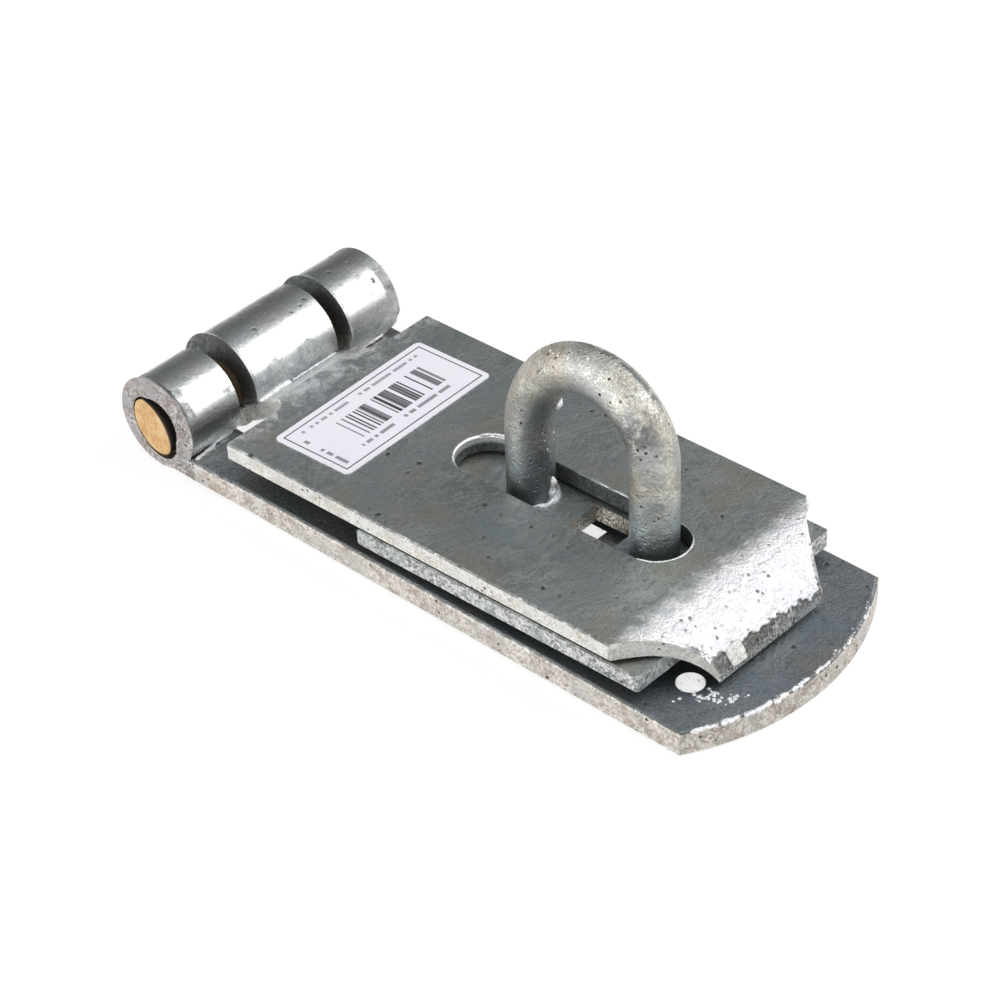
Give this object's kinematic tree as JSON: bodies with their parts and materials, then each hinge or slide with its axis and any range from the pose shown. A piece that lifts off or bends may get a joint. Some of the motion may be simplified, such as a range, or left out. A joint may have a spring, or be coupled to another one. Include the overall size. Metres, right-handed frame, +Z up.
{
  "type": "hasp and staple",
  "caption": "Heavy galvanised hasp with a slotted, cranked strap folded over its round-ended hinge leaf, and a loose bolt-on staple plate between them, for a padlock.",
  "frame": {"origin": "middle of the hinge leaf's four bolt holes, on the leaf's back face", "axes": "+X along the leaf towards its rounded end, away from the hinge; +Y across it along the hinge pin; +Z up from the door, through leaf, staple plate and hasp"},
  "size_m": [0.1377, 0.0538, 0.046],
  "materials": {
    "galvanised_leaf": "hot-dip galvanised, dull grey with paler cut edges",
    "galvanised_hasp": "hot-dip galvanised, dull grey with paler cut edges",
    "galvanised_plate": "hot-dip galvanised, dull grey",
    "galvanised_staple": "hot-dip galvanised, mottled pale grey",
    "brass_pin": "worn satin brass",
    "paper_label": "coated white paper with plain grey bars"
  },
  "bodies": {
    "leaf": {"hinge_leaf": "galvanised_leaf", "hinge_pin": "brass_pin", "staple_plate": "galvanised_plate", "staple": "galvanised_staple"},
    "hasp": {"hasp_leaf": "galvanised_hasp", "label": "paper_label"}
  },
  "joints": [
    {"name": "hasp_hinge", "type": "hinge", "parent": "leaf", "child": "hasp", "pos_m": [-0.0729, 0, 0.0091], "axis": [0, -1, 0], "range_deg": [0, 180]}
  ]
}
